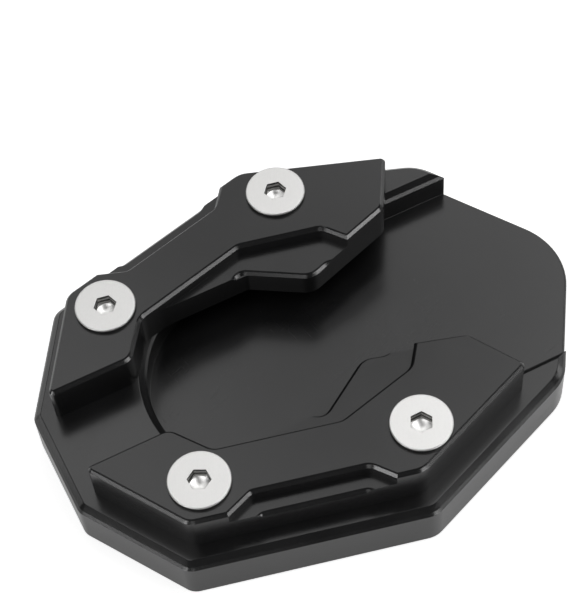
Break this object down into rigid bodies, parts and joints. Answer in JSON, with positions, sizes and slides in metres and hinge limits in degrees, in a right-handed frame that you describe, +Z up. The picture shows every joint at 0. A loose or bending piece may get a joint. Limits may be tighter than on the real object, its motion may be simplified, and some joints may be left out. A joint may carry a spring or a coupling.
{
  "type": "kickstand foot enlarger",
  "caption": "Wide milled foot plate for a motorcycle side stand: the stand's foot sits in a pocket and is held down by bolted clamps with tongues",
  "frame": {"origin": "on the ground, below the middle of the plate's length and width", "axes": "+X to the open tail of the pocket, +Y to the left clamp, +Z up"},
  "size_m": [0.112, 0.0872, 0.021],
  "materials": {
    "base_plate": "satin",
    "left_clamp": "satin",
    "right_clamp": "satin",
    "clamp_screws": "satin"
  },
  "bodies": {
    "root": {"base_plate": "base_plate", "left_clamp": "left_clamp", "right_clamp": "right_clamp", "clamp_screws": "clamp_screws"}
  },
  "joints": []
}
